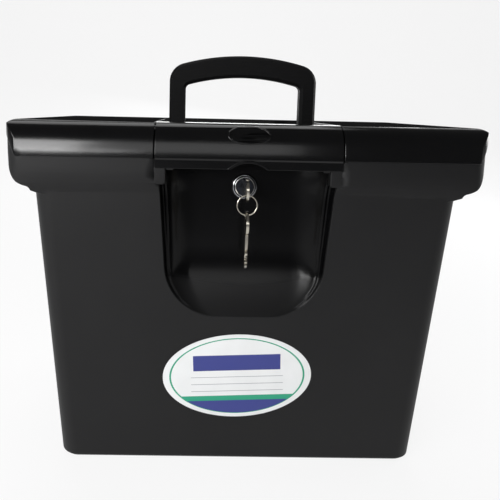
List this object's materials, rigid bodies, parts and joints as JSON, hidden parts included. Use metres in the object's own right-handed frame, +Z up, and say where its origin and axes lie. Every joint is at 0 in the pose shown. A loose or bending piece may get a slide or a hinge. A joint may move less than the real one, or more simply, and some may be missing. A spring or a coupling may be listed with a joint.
{
  "type": "portable file box",
  "caption": "Portable file box with tapered bin, eared collar, hinged lid, front latch flap, folding handle and a keyed cam lock with keys on a ring.",
  "frame": {"origin": "centre of the base, on the surface the box stands on", "axes": "+X to the right along the long side, -Y towards the front with the lock, +Z up"},
  "size_m": [0.353, 0.2147, 0.3253],
  "materials": {
    "bin_plastic": "fine-grained moulded black polypropylene",
    "gloss_lid_plastic": "polished black moulding",
    "handle_plastic": "ribbed black moulding, satin",
    "lock_chrome": "polished chrome plate",
    "plated_steel": "zinc plate",
    "wafer_brass": "stamped, bare",
    "key_nickel": "bright nickel plate",
    "label_vinyl": "printed self-adhesive vinyl"
  },
  "bodies": {
    "bin": {"bin": "bin_plastic", "lock_barrel": "lock_chrome", "lock_nut": "plated_steel", "lock_washer": "plated_steel", "contents_label": "label_vinyl", "right_hinge_pin": "plated_steel", "left_hinge_pin": "plated_steel"},
    "lid": {"lid": "gloss_lid_plastic", "lock_strike": "handle_plastic", "strike_screws": "plated_steel", "right_latch_pin": "plated_steel", "left_latch_pin": "plated_steel", "right_handle_pin": "plated_steel", "left_handle_pin": "plated_steel"},
    "latch": {"latch": "gloss_lid_plastic"},
    "handle": {"handle": "handle_plastic"},
    "lock_core": {"lock_plug": "lock_chrome", "lock_wafers": "wafer_brass", "lock_cam": "plated_steel", "cam_screw": "plated_steel"},
    "key": {"key": "key_nickel"},
    "key_ring": {"key_ring": "key_nickel"},
    "spare_key": {"spare_key": "key_nickel"}
  },
  "joints": [
    {"name": "lid_hinge", "type": "hinge", "parent": "bin", "child": "lid", "pos_m": [0, 0.1029, 0.2457], "axis": [-1, 0, 0], "range_deg": [0, 105]},
    {"name": "latch_hinge", "type": "hinge", "parent": "lid", "child": "latch", "pos_m": [0, -0.0842, 0.2667], "axis": [-1, 0, 0], "range_deg": [0, 75]},
    {"name": "handle_fold", "type": "hinge", "parent": "lid", "child": "handle", "pos_m": [0, -0.03, 0.2617], "axis": [-1, 0, 0], "range_deg": [0, 90]},
    {"name": "lock_turn", "type": "hinge", "parent": "bin", "child": "lock_core", "pos_m": [0, -0.07, 0.2226], "axis": [0, 1, 0], "range_deg": [0, 90]},
    {"name": "key_withdraw", "type": "slide", "parent": "lock_core", "child": "key", "axis": [0, -1, 0], "range_m": [0, 0.0195]},
    {"name": "ring_swing", "type": "hinge", "parent": "key", "child": "key_ring", "pos_m": [0, -0.0971, 0.21686], "axis": [0, 1, 0], "range_deg": [-90, 0]},
    {"name": "spare_key_swing", "type": "hinge", "parent": "key_ring", "child": "spare_key", "pos_m": [0, -0.0971, 0.20502], "axis": [1, 0, 0], "range_deg": [-60, 20]}
  ],
  "couplings": [
    {"joint": "ring_swing", "follows": "lock_turn", "ratio": -1}
  ]
}
